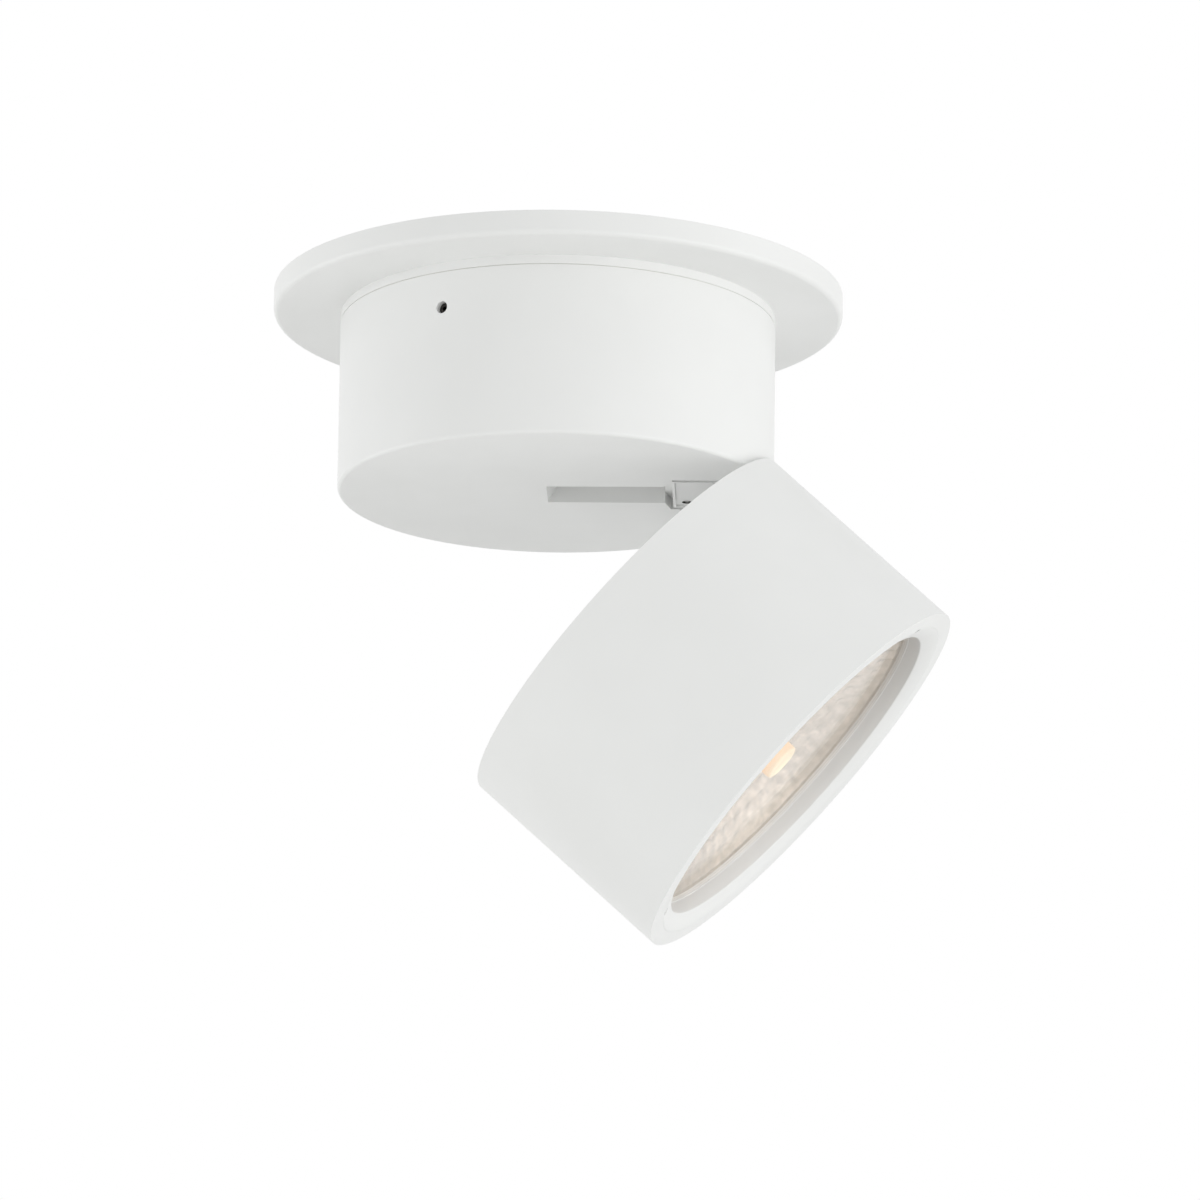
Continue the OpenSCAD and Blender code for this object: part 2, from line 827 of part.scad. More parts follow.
// A block with one end rounded to the drum's inside
module box_body(end_r, start, half_w, low, high) {
    intersection() {
        block([start, -half_w, low], [drum_r, half_w, high]);
        translate([0, 0, low - eps])
            cylinder(r = end_r, h = high - low + 2 * eps);
    }
}

// The boss that carries one end of the pin, cut flush with the drum's underside
module pin_boss() {
    intersection() {
        union() {
            translate([pin_x, 0, hinge_rise])
                rotate([90, 0, 0])
                    rod(pin_boss_r, boss_side, box_w / 2 - box_wall / 2);
            block(
                [pin_x - pin_boss_r, -box_w / 2 + box_wall / 2, hinge_rise],
                [pin_x + pin_boss_r, -boss_side, box_h - eps]
            );
        }
        block([0, -drum_r, 0], [drum_r, drum_r, drum_h]);
    }
}

module hinge_box_screws() {
    color(steel)
        in_drum()
            box_screw_spots()
                translate([0, 0, box_h - box_roof])
                    screw_up(m3_r, box_screw_l, m3_head_h);
}

module earth_screw() {
    color(dark_steel)
        in_drum()
            translate([earth_x, earth_y, 0])
                difference() {
                    union() {
                        translate([0, 0, box_lug_rise])
                            cylinder(r1 = earth_head_r, r2 = m2_r, h = earth_head_r - m2_r, $fn = small_fn);
                        rod(m2_r, box_lug_rise + earth_head_r - m2_r - hole_gap, box_h + pocket_wall);
                    }
                    block(
                        [-earth_head_r, -earth_slot_w / 2, 0],
                        [earth_head_r, earth_slot_w / 2, box_lug_rise + earth_slot_w]
                    );
                }
}

module tilt_pin() {
    color(steel)
        in_drum()
            translate([pin_x, 0, hinge_rise])
                rotate([90, 0, 0])
                    rod(pin_r, -pin_len / 2, pin_len / 2);
}

module friction_washers() {
    color(bronze)
        in_drum()
            translate([pin_x, 0, hinge_rise])
                for (turn = [90, -90])
                    rotate([turn, 0, 0])
                        ring(washer_r, pin_r + hole_gap, washer_side, washer_side + washer_t);
}

module wire_bush() {
    low = box_h - box_roof;
    high = box_h + pocket_wall;
    color(black_rubber)
        in_drum()
            translate([wire_x, 0, 0])
                difference() {
                    union() {
                        rod(bush_hole_r, low - bush_lip, high + bush_lip);
                        rod(bush_hole_r + bush_lip, low - bush_lip, low);
                        rod(bush_hole_r + bush_lip, high, high + bush_lip);
                    }
                    rod(bush_r, low - eps - bush_lip, high + eps + bush_lip);
                }
}

module led_driver() {
    color(pale_plastic)
        in_drum()
            block(
                [-driver_back - driver_w / 2, -driver_l / 2, driver_lift],
                [driver_w / 2 - driver_back, driver_l / 2, driver_lift + driver_h]
            );
}

module driver_end_caps() {
    color(pale_plastic)
        in_drum()
            for (turn = [0, 1])
                mirror([0, turn, 0])
                    difference() {
                        union() {
                            block(
                                [-driver_back - driver_w / 2, driver_l / 2, driver_lift],
                                [
                                    driver_w / 2 - driver_back,
                                    driver_l / 2 + driver_cap_l,
                                    driver_lift + driver_h
                                ]
                            );
                            block(
                                [
                                    -driver_back - driver_ear_w / 2,
                                    driver_l / 2 + driver_cap_l - eps,
                                    driver_lift
                                ],
                                [
                                    driver_ear_w / 2 - driver_back,
                                    driver_l / 2 + driver_cap_l + driver_ear_l,
                                    driver_lift + driver_ear_t
                                ]
                            );
                        }
                        translate([-driver_back, driver_screw_y, 0])
                            rod(m3_r + hole_gap, driver_lift - eps, driver_lift + driver_ear_t + eps);
                    }
}

module driver_screws() {
    color(steel)
        in_drum()
            for (side = [-1, 1])
                translate([-driver_back, side * driver_screw_y, driver_lift + driver_ear_t])
                    screw(m3_r, driver_ear_t + driver_screw_l - screw_tip_gap, m3_head_h);
}

// Children at each of the back cover's screws
module cover_screw_spots() {
    for (a = back_screws)
        rotate([0, 0, a])
            translate([cover_screw_r, 0, 0])
                children();
}

// Children at each of the heat sink's posts
module sink_screw_spots() {
    for (a = back_screws)
        rotate([0, 0, a])
            translate([sink_post_ring, 0, 0])
                children();
}

module arm_screw_spots() {
    for (x = [arm_screw_first, arm_screw_second])
        for (side = [-1, 1])
            translate([x, side * arm_screw_side, 0])
                children();
}

module duct_screw_spots() {
    for (side = [-1, 1])
        translate([grommet_x, side * duct_screw_y, 0])
            children();
}

module holder_screw_spots() {
    for (side = [-1, 1])
        translate([0, side * holder_screw_r, 0])
            children();
}

module head_shell() {
    color(plate_white)
        in_head()
            difference() {
                union() {
                    rotate_extrude()
                        polygon([
                            [head_r, 0],
                            [head_r, -head_l],
                            [front_r, -head_l],
                            [front_r, -seat_front],
                            [seat_r, -seat_front],
                            [seat_r, -seat_back],
                            [head_bore_r, -seat_back],
                            [head_bore_r, -ledge_front],
                            [recess_r - cover_ledge, -ledge_front],
                            [recess_r - cover_ledge, -cover_front],
                            [recess_r, -cover_front],
                            [recess_r, -lip_depth],
                            [head_r - lip_land, 0]
                        ]);
                    cover_screw_spots() {
                        rod(cover_post_r, -cover_front - cover_post_l, eps / 2 - ledge_front);
                        block(
                            [0, -cover_web_w / 2, -cover_front - cover_post_l],
                            [head_bore_r + eps - cover_screw_r, cover_web_w / 2, eps / 2 - ledge_front]
                        );
                    }
                }
                cover_screw_spots()
                    rod(m2_r + hole_gap, -cover_front - cover_post_l + eps, eps - cover_front);
            }
}

module back_cover() {
    color(plate_white)
        in_head()
            difference() {
                translate([0, 0, -cover_front])
                    cylinder(r = cover_r, h = cover_t);
                cover_screw_spots()
                    rod(m2_r + hole_gap, -cover_front - eps, eps - recess_depth);
                sink_screw_spots()
                    rod(m3_r + hole_gap, -cover_front - eps, eps - recess_depth);
                arm_screw_spots()
                    rod(m3_r + hole_gap, -cover_front - eps, eps - recess_depth);
                duct_screw_spots()
                    rod(m2_r + hole_gap, -cover_front - eps, eps - recess_depth);
                translate([grommet_x, 0, 0])
                    rod(cover_hole_r, -cover_front - eps, eps - recess_depth);
            }
}

module back_cover_screws() {
    color(steel)
        in_head()
            cover_screw_spots()
                translate([0, 0, -recess_depth])
                    screw(m2_r, cover_t + cover_post_l - screw_tip_gap, m2_head_h);
}

module hinge_arm() {
    color(plate_white)
        in_head()
            difference() {
                union() {
                    translate([pin_x, 0, pin_above_head])
                        rotate([90, 0, 0])
                            rod(knuckle_r, -knuckle_w / 2, knuckle_w / 2);
                    block(
                        [pin_x - neck_in, -knuckle_w / 2, -recess_depth],
                        [pin_x + neck_out, knuckle_w / 2, pin_above_head]
                    );
                    block(
                        [foot_start, -foot_w / 2, -recess_depth],
                        [foot_end, foot_w / 2, foot_t - recess_depth]
                    );
                    arm_rib();
                }
                translate([pin_x, 0, pin_above_head])
                    rotate([90, 0, 0])
                        rod(bush_out_r, -knuckle_w, knuckle_w);
                arm_screw_spots()
                    rod(m3_r + hole_gap, -recess_depth - eps, foot_t + eps - recess_depth);
            }
}

// The rib that stiffens the arm's neck
module arm_rib() {
    translate([0, arm_rib_t / 2, 0])
        rotate([90, 0, 0])
            linear_extrude(arm_rib_t)
                polygon([
                    [pin_x - neck_in - arm_rib_reach, foot_t - recess_depth - eps],
                    [pin_x - neck_in + eps, foot_t - recess_depth - eps],
                    [pin_x - neck_in + eps, foot_t - recess_depth + arm_rib_reach],
                    [pin_x - neck_in, foot_t - recess_depth + arm_rib_reach]
                ]);
}

module arm_bush() {
    color(bronze)
        in_head()
            translate([pin_x, 0, pin_above_head])
                rotate([90, 0, 0])
                    ring(bush_out_r, pin_r + hole_gap, -knuckle_w / 2, knuckle_w / 2);
}

module arm_screws() {
    color(steel)
        in_head()
            arm_screw_spots()
                translate([0, 0, foot_t - recess_depth])
                    screw(m3_r, foot_t + cover_t, m3_head_h);
}

module wire_duct() {
    color(plate_white)
        in_head()
            difference() {
                union() {
                    block([duct_start, -duct_w / 2, -recess_depth], [duct_end, duct_w / 2, duct_rise]);
                    block(
                        [grommet_x - duct_tab_l / 2, -duct_w / 2 - duct_tab_w, -recess_depth],
                        [grommet_x + duct_tab_l / 2, duct_w / 2 + duct_tab_w, duct_tab_t - recess_depth]
                    );
                }
                block(
                    [duct_start + duct_wall, duct_wall - duct_w / 2, -recess_depth - eps],
                    [duct_end + eps, duct_w / 2 - duct_wall, duct_rise - duct_wall]
                );
                duct_screw_spots()
                    rod(m2_r + hole_gap, -recess_depth - eps, duct_tab_t + eps - recess_depth);
            }
}

module duct_screws() {
    color(steel)
        in_head()
            duct_screw_spots()
                translate([0, 0, duct_tab_t - recess_depth])
                    screw(m2_r, duct_tab_t + cover_t, m2_head_h);
}

module cover_grommet() {
    color(black_rubber)
        in_head()
            translate([grommet_x, 0, 0])
                difference() {
                    union() {
                        rod(cover_hole_r, -cover_front - bush_lip, bush_lip - recess_depth);
                        rod(cover_hole_r + bush_lip, -cover_front - bush_lip, -cover_front);
                        rod(cover_hole_r + bush_lip, -recess_depth, bush_lip - recess_depth);
                    }
                    rod(cover_grommet_r, -cover_front - 2 * bush_lip, 2 * bush_lip - recess_depth);
                }
}

module heat_sink() {
    color(aluminium)
        in_head()
            difference() {
                union() {
                    translate([0, 0, -sink_front])
                        cylinder(r = sink_r, h = sink_t);
                    intersection() {
                        translate([0, 0, -sink_back - eps])
                            cylinder(r = sink_r, h = fin_h + eps);
                        union()
                            for (i = [-fin_rows:fin_rows])
                                block(
                                    [-sink_r, i * fin_pitch - fin_t / 2, -sink_back - eps],
                                    [sink_r, i * fin_pitch + fin_t / 2, -sink_fins_back]
                                );
                    }
                    sink_screw_spots()
                        rod(sink_post_r, -sink_back - eps, -cover_front);
                }
                sink_screw_spots()
                    rod(m3_r + hole_gap, -sink_back, eps - cover_front);
                holder_screw_spots()
                    rod(m2_r + hole_gap, -sink_front - eps, -sink_back - eps);
            }
}

module heat_sink_screws() {
    color(steel)
        in_head()
            sink_screw_spots()
                translate([0, 0, -recess_depth])
                    screw(m3_r, cover_t + sink_screw_grip, m3_head_h);
}

module led_board() {
    color(plate_white)
        in_head()
            difference() {
                rod(board_d / 2, -board_front, -sink_front);
                holder_screw_spots()
                    rod(m2_r + hole_gap, -board_front - eps, eps - sink_front);
            }
}

module led_emitter() {
    color("khaki")
        in_head()
            rod(emitter_d / 2, -emitter_front, -board_front);
}

module light_guide() {
    color("khaki")
        in_head()
            difference() {
                rotate_extrude()
                    polygon(concat(
                        [[0, -board_front]],
                        edge_arc(0, guide_r - flange_front, guide_r, -90),
                        [[guide_r, -board_front - guide_foot_t]],
                        [[guide_foot_r, -board_front - guide_foot_t], [guide_foot_r, -board_front]]
                    ));
                rod(emitter_d / 2 + hole_gap, -emitter_front - hole_gap, eps - board_front);
            }
}

module emitter_holder() {
    color(pale_plastic)
        in_head()
            difference() {
                ring(board_d / 2, guide_r + seat_gap, -holder_front, -board_front);
                rod(guide_foot_r + seat_gap, -board_front - guide_foot_t - hole_gap, eps - board_front);
                holder_screw_spots() {
                    rod(m2_r + hole_gap, -holder_front - eps, eps - board_front);
                    rod(m2_r * head_ratio + hole_gap, -holder_front - eps, m2_head_h - holder_front);
                }
            }
}

module holder_screws() {
    color(steel)
        in_head()
            holder_screw_spots()
                translate([0, 0, m2_head_h - holder_front])
                    screw_up(m2_r, holder_screw_l, m2_head_h);
}

module reflector() {
    outer = bowl_curve(reflector_t);
    color(warm_metal)
        in_head()
            rotate_extrude()
                polygon(concat(
                    [[neck_r, -holder_front]],
                    bowl_curve(0),
                    [[lens_r, -flange_front], [lens_r, -seat_front]],
                    [for (i = [bowl_steps:-1:1]) outer[i]],
                    [
                        [neck_r + reflector_t, reflector_t / 2 - bowl_back],
                        [neck_r + reflector_t, -holder_front]
                    ]
                ));
}

module lens_gasket() {
    color(black_rubber)
        in_head()
            ring(lens_r, lens_edge_r, -gasket_front, -flange_front);
}

module front_glass() {
    color([0.85, 0.92, 0.92, 0.4])
        in_head()
            translate([0, 0, -glass_front])
                cylinder(r = lens_r, h = glass_t);
}

module retaining_ring() {
    color(plate_white)
        in_head()
            difference() {
                rotate_extrude()
                    polygon([
                        [ring_out_r, -head_l],
                        [ring_out_r - ring_land, -head_l],
                        [ring_r, ring_bevel - head_l],
                        [ring_r, -glass_front],
                        [ring_out_r, -glass_front]
                    ]);
                for (turn = notch_turns)
                    rotate([0, 0, turn])
                        block(
                            [ring_out_r - notch_l, -notch_w / 2, -head_l - eps],
                            [head_r, notch_w / 2, ring_bevel - head_l]
                        );
            }
}

canopy_plate();
mounting_bar();
canopy_screws();
swivel_collar();
slide_ring();
collar_screws();
supply_grommet();
terminal_block();
terminal_clamp_screws();
terminal_fixing_screws();
drum_shell();
set_screws();
hinge_box();
hinge_box_screws();
earth_screw();
tilt_pin();
friction_washers();
wire_bush();
led_driver();
driver_end_caps();
driver_screws();
head_shell();
back_cover();
back_cover_screws();
hinge_arm();
arm_bush();
arm_screws();
wire_duct();
duct_screws();
cover_grommet();
heat_sink();
heat_sink_screws();
led_board();
led_emitter();
light_guide();
emitter_holder();
holder_screws();
reflector();
lens_gasket();
front_glass();
retaining_ring();
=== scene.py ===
import json
import math

import bmesh
import bpy
from mathutils import Matrix, Vector


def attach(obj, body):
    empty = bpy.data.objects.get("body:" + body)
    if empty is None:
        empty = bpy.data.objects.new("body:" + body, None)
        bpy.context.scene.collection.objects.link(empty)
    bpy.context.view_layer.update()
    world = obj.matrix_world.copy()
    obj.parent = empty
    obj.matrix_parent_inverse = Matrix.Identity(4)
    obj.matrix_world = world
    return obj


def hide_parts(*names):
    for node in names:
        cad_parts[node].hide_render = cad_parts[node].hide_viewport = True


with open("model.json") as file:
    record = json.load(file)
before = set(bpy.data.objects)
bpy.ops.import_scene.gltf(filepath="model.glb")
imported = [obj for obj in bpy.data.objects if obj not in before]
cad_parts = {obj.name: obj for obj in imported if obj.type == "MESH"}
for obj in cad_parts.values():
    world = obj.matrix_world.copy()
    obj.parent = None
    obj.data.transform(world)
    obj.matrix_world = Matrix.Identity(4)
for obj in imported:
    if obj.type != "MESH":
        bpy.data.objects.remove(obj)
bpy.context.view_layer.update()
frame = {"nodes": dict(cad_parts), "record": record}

MM = 0.001


# Sizes of the source, in mm
# The head. Its depths run from its back edge to its front, along its own axis.
HEAD_TILT = math.radians(47.6)
PIN_X, PIN_Z, PIN_ABOVE_HEAD = 45.5, -49.1, 5.2
HEAD_L, FRONT_R = 59.2, 50.5
LENS_R, GASKET_IN, GASKET_FRONT, GLASS_FRONT = 50.3, 45.5, 51.7, 53.7
BOWL_R, NECK_R, REFLECTOR_T = 45.2, 8.5, 1.2
HOLDER_FRONT, BOWL_BACK, FLANGE_FRONT = 32.7, 34.1, 51.0
RING_OUT, RING_LAND, RING_R, RING_BEVEL = 50.45, 0.4, 45.7, 1.6
NOTCH_TURNS, NOTCH_HALF_W, NOTCH_IN, NOTCH_DEPTH = (-31, -170), 1.1, 48.8, 2.6
BOARD_FRONT, EMITTER_R, EMITTER_T = 30.7, 4.55, 0.85
GUIDE_R, GUIDE_FOOT_R, GUIDE_FOOT_T, GUIDE_TIP, GUIDE_TIP_R = 5.0, 7.0, 1.0, 51.5, 0.6

# The drum. Its heights run up from its underside, at DRUM_Z.
DRUM_Z = -52.3
BOX_START, BOX_WALL, BOX_W, BOX_LUG = 29.5, 0.7, 22.8, 6.2
LUG_RISE, COVER_END, COVER_T = 0.4, 39.8, 0.8
POCKET_START, POCKET_W, POCKET_SLANT, SLOT_W = 27.4, 26.4, 1.5, 14.4
TRIM_RISE, TRIM_T, TRIM_END = 3.0, 1.0, 46.0
EARTH_X, EARTH_Y, EARTH_HEAD_R, EARTH_THREAD_R, EARTH_END = 32.95, 7.95, 1.85, 1.25, 12.4
RECESS_R, RECESS_DEPTH, RECESS_PIN_R, RECESS_PIN_DEPTH = 1.25, 0.6, 0.5, 0.1

# Edges, fits and points on an axis.
EDGE, THIN_EDGE, FIT, TIGHT, ON_AXIS = 0.25, 0.08, 0.05, 0.06, 0.001

HEAD_TURN = Matrix.Rotation(-HEAD_TILT, 4, "Y")
HEAD_PLACE = (
    Matrix.Translation((PIN_X * MM, 0, PIN_Z * MM))
    @ HEAD_TURN
    @ Matrix.Translation((-PIN_X * MM, 0, -PIN_ABOVE_HEAD * MM))
    @ Matrix.Scale(MM, 4)
)
INTO_HEAD = HEAD_PLACE.inverted()


def drum_place(x=0.0, y=0.0):
    """Puts points in mm over a place of the drum's underside."""
    return Matrix.Translation((x * MM, y * MM, DRUM_Z * MM)) @ Matrix.Scale(MM, 4)


# Camera
# A long lens, below the light and a little to its right, looking up at it.
CAMERA_AT = (0.08153, -2.4, -0.74111)
CAMERA_YAW, CAMERA_PITCH, CAMERA_ROLL = 0.02915, 0.26876, -0.01335
LENS_MM, SENSOR_MM = 297.56, 36.0
NEAREST_M, FARTHEST_M = 0.1, 50


def make_camera():
    data = bpy.data.cameras.new("camera")
    data.lens, data.sensor_width = LENS_MM, SENSOR_MM
    data.clip_start, data.clip_end = NEAREST_M, FARTHEST_M
    cam = bpy.data.objects.new("camera", data)
    bpy.context.scene.collection.objects.link(cam)
    turn = (
        Matrix.Rotation(CAMERA_YAW, 3, "Z")
        @ Matrix.Rotation(CAMERA_PITCH, 3, "X")
        @ Matrix.Rotation(CAMERA_ROLL, 3, "Y")
    )
    right, forward, up = turn.col
    axes = Matrix((right, up, -forward)).transposed().to_4x4()
    cam.matrix_world = Matrix.Translation(CAMERA_AT) @ axes
    bpy.context.scene.camera = cam


# Node helpers
def new_material(name):
    mat = bpy.data.materials.new(name)
    mat.use_nodes = True
    nt = mat.node_tree
    nt.nodes.clear()
    return mat, nt, nt.nodes.new("ShaderNodeOutputMaterial")


def add(nt, kind, **inputs):
    """A new node with plain values on its named inputs."""
    node = nt.nodes.new("ShaderNode" + kind)
    for key, value in inputs.items():
        node.inputs[key.replace("_", " ")].default_value = value
    return node


def feed(nt, node, *values):
    """Fills a node's first inputs in order: a socket is linked, a plain value is set."""
    for place, value in zip(node.inputs, values):
        if isinstance(value, bpy.types.NodeSocket):
            nt.links.new(value, place)
        else:
            place.default_value = value
    return node.outputs


def calculate(nt, operation, *values):
    node = add(nt, "Math")
    node.operation = operation
    return feed(nt, node, *values)[0]


def measure(nt, operation, *vectors):
    """A number that comes from two vectors."""
    node = add(nt, "VectorMath")
    node.operation = operation
    return feed(nt, node, *vectors)["Value"]


def coords(nt):
    return add(nt, "TexCoord").outputs["Object"]


def noise(nt, vector, size_mm, detail, rough=0.5):
    node = add(nt, "TexNoise", Scale=1 / (size_mm * MM), Detail=detail, Roughness=rough)
    nt.links.new(vector, node.inputs["Vector"])
    return node.outputs["Fac"]


def ramp(nt, fac, low, high, at=(0.35, 0.65)):
    node = add(nt, "ValToRGB")
    a, b = node.color_ramp.elements
    a.position, b.position = at
    a.color, b.color = (*low, 1), (*high, 1)
    nt.links.new(fac, node.inputs["Fac"])
    return node.outputs["Color"]


def share(nt, value, start, end, low=0.0, high=1.0):
    """How far a value is from start to end, as a number between low and high."""
    node = add(nt, "MapRange", From_Min=start, From_Max=end, To_Min=low, To_Max=high)
    nt.links.new(value, node.inputs["Value"])
    return node.outputs["Result"]


def span(nt, fac, low, high):
    """The middle of a noise's range, spread from low to high."""
    return share(nt, fac, 0.3, 0.7, low, high)


def bump(nt, height, strength, depth_mm, below=None):
    node = add(nt, "Bump", Strength=strength, Distance=depth_mm * MM)
    nt.links.new(height, node.inputs["Height"])
    if below is not None:
        nt.links.new(below, node.inputs["Normal"])
    return node.outputs["Normal"]


def mixed(nt, kind, fac, first, second):
    return feed(nt, add(nt, kind), fac, first, second)[0]


# Materials
def surface(name, colours, tint, gloss, rough, metallic=0.0, at=(0.35, 0.65)):
    """A material whose colour and gloss drift with a noise each, given as its size and detail."""
    mat, nt, out = new_material(name)
    where = coords(nt)
    body = add(nt, "BsdfPrincipled", Metallic=metallic)
    nt.links.new(ramp(nt, noise(nt, where, *tint), *colours, at), body.inputs["Base Color"])
    nt.links.new(span(nt, noise(nt, where, *gloss), *rough), body.inputs["Roughness"])
    nt.links.new(body.outputs["BSDF"], out.inputs["Surface"])
    return mat, nt, where, body


def painted(name, low, high, rough, peel_mm=0.9):
    """Satin powder coat: a shade of colour drift, uneven gloss and a fine orange peel."""
    mat, nt, where, body = surface(
        name, (low, high), (40, 3), (6, 4), (rough - 0.04, rough + 0.05)
    )
    peel = bump(nt, noise(nt, where, peel_mm, 2), 0.12, 0.02)
    fine = bump(nt, noise(nt, where, peel_mm / 4, 1), 0.06, 0.01, peel)
    nt.links.new(fine, body.inputs["Normal"])
    return mat


def metal(name, low, high, rough, grain_mm=1.2):
    """Plated, blackened, cast or plain metal."""
    mat, nt, where, body = surface(
        name, (low, high), (5, 4), (2, 4), (rough - 0.07, rough + 0.08), metallic=1.0
    )
    nt.links.new(bump(nt, noise(nt, where, grain_mm, 3), 0.15, 0.03), body.inputs["Normal"])
    return mat


def moulded(name, low, high, rough, grain_mm=0.5):
    """Plastic, rubber or a coated board."""
    mat, nt, where, body = surface(
        name, (low, high), (8, 3), (3, 3), (rough - 0.05, rough + 0.05)
    )
    nt.links.new(bump(nt, noise(nt, where, grain_mm, 2), 0.1, 0.03), body.inputs["Normal"])
    return mat


def hammered(name):
    """Beaten warm metal: a shade of its own on each blow, and a soft brushed blur."""
    mat, nt, where, body = surface(
        name, ((0.46, 0.375, 0.295), (0.67, 0.575, 0.48)), (2.4, 4, 0.6), (2, 4), (0.10, 0.24),
        metallic=1.0, at=(0.34, 0.68),
    )
    nt.links.new(bump(nt, noise(nt, where, 1.5, 3), 0.2, 0.05), body.inputs["Normal"])
    return mat


def emitter(name):
    """The emitter's yellow face, lit."""
    mat, nt, where, body = surface(
        name, ((0.85, 0.55, 0.10), (0.92, 0.66, 0.16)), (1.5, 3), (1, 2), (0.35, 0.45)
    )
    body.inputs["Emission Color"].default_value = (1.0, 0.72, 0.38, 1)
    body.inputs["Emission Strength"].default_value = 6.0
    return mat


def along_head(nt, start, end):
    """0 to 1 between two depths of the head."""
    axis = HEAD_TURN @ Vector((0, 0, -1))
    back = HEAD_PLACE.translation.dot(axis)
    return share(
        nt, measure(nt, "DOT_PRODUCT", coords(nt), axis), back + start * MM, back + end * MM
    )


def light_guide(name):
    """Frosted guide: amber in its body, glowing, with a painted glint: a pale streak of glow
    across the far part of its flat tip.
    """
    mat, nt, out = new_material(name)
    where = coords(nt)
    body = add(nt, "BsdfPrincipled", Emission_Strength=1.0)
    depth = along_head(nt, 40, GUIDE_TIP)
    colour = ramp(nt, depth, (0.42, 0.24, 0.08), (0.50, 0.42, 0.28), (0.3, 1.0))
    nt.links.new(colour, body.inputs["Base Color"])
    nt.links.new(span(nt, noise(nt, where, 1, 2), 0.40, 0.52), body.inputs["Roughness"])

    # Painted glint: the tip's glow turns pale towards its far edge and middle, where a highlight
    # falls.
    split = add(nt, "SeparateXYZ")
    feed(nt, split, where)
    far_side = share(nt, split.outputs["Y"], -1.0 * MM, GUIDE_R * MM)
    sideways = HEAD_TURN @ Vector((1, 0, 0))
    middle = (HEAD_PLACE @ Vector((0, 0, -GUIDE_TIP))).dot(sideways)
    off = calculate(nt, "SUBTRACT", measure(nt, "DOT_PRODUCT", where, sideways), middle)
    near = share(nt, calculate(nt, "ABSOLUTE", off), GUIDE_R * MM, 1.5 * MM)
    painted_glint = calculate(nt, "MULTIPLY", far_side, near)
    # The tip's glow colour with the painted glint in it.
    tip_glint_colour = ramp(nt, painted_glint, (0.47, 0.30, 0.14), (0.56, 0.445, 0.23), (0.02, 0.6))
    at_tip = along_head(nt, GUIDE_TIP - 1.2, GUIDE_TIP - 0.1)
    glow = mixed(nt, "MixRGB", at_tip, (0.58, 0.30, 0.10, 1), tip_glint_colour)
    nt.links.new(glow, body.inputs["Emission Color"])
    nt.links.new(body.outputs["BSDF"], out.inputs["Surface"])
    return mat


def painted_screw_recess_shade(name, low, high, rough, blur=0.05):
    """A countersunk head painted with its plate, its recess coloured near black as painted shade,
    round a grey pin.
    """
    mat = painted(name, low, high, rough)
    nt = mat.node_tree
    body = next(n for n in nt.nodes if n.type == "BSDF_PRINCIPLED")
    paint = body.inputs["Base Color"].links[0].from_socket
    flat = add(nt, "VectorMath")
    flat.operation = "MULTIPLY"
    feed(nt, flat, coords(nt), (1, 1, 0))
    away = measure(nt, "DISTANCE", flat.outputs[0], (EARTH_X * MM, EARTH_Y * MM, 0))
    past_pin = share(nt, away, RECESS_PIN_R * MM, (RECESS_PIN_R + blur) * MM)
    past_rim = share(nt, away, RECESS_R * MM, (RECESS_R + blur) * MM)
    # Painted shade: the recess is coloured near black for the shade that falls in it; the pin is
    # grey.
    recess = ramp(nt, past_pin, (0.30, 0.30, 0.29), (0.035, 0.033, 0.03), (0, 1))
    nt.links.new(mixed(nt, "MixRGB", past_rim, recess, paint), body.inputs["Base Color"])
    return mat


def glass(name):
    """Clear glass that lets the lamps' light through to the reflector."""
    mat, nt, out = new_material(name)
    body = add(nt, "BsdfPrincipled", Roughness=0.0, IOR=1.15, Transmission_Weight=1.0)
    tint = ramp(nt, noise(nt, coords(nt), 30, 2), (0.985, 0.99, 0.987), (0.995, 0.998, 0.996))
    nt.links.new(tint, body.inputs["Base Color"])
    clear = add(nt, "BsdfTransparent")
    shadow = add(nt, "LightPath").outputs["Is Shadow Ray"]
    shown = mixed(nt, "MixShader", shadow, body.outputs["BSDF"], clear.outputs["BSDF"])
    nt.links.new(shown, out.inputs["Surface"])
    return mat


# Two colours that the noise runs between, and the middle of the roughness.
PAINT = ((0.862, 0.865, 0.857), (0.884, 0.887, 0.880), 0.42)
METALS = {
    "steel": ((0.50, 0.51, 0.53), (0.62, 0.63, 0.64), 0.34),
    "dark_steel": ((0.045, 0.042, 0.04), (0.085, 0.08, 0.078), 0.42),
    "cast_aluminium": ((0.74, 0.75, 0.74), (0.84, 0.85, 0.84), 0.46, 0.6),
    "bronze": ((0.42, 0.29, 0.13), (0.55, 0.40, 0.20), 0.36),
}
MOULDED = {
    "black_rubber": ((0.012, 0.012, 0.012), (0.025, 0.025, 0.025), 0.7),
    "pale_silicone": ((0.80, 0.80, 0.78), (0.86, 0.86, 0.84), 0.55),
    "white_plastic": ((0.70, 0.70, 0.66), (0.76, 0.76, 0.72), 0.48),
    "board_white": ((0.76, 0.76, 0.73), (0.82, 0.82, 0.79), 0.38),
}


def make_materials():
    mats = {"white_paint": painted("white_paint", *PAINT)}
    mats.update({name: metal(name, *look) for name, look in METALS.items()})
    mats.update({name: moulded(name, *look) for name, look in MOULDED.items()})
    mats["emitter_yellow"] = emitter("emitter_yellow")
    mats["painted_screw_recess_shade"] = painted_screw_recess_shade("painted_screw_recess_shade", *PAINT)
    mats["frosted_guide"] = light_guide("frosted_guide")
    mats["warm_reflector"] = hammered("warm_reflector")
    mats["clear_glass"] = glass("clear_glass")
    return mats


# Dressed pieces
def body_of(node):
    for body, nodes in frame["record"]["behaviour"]["bodies"].items():
        if node in nodes:
            return body


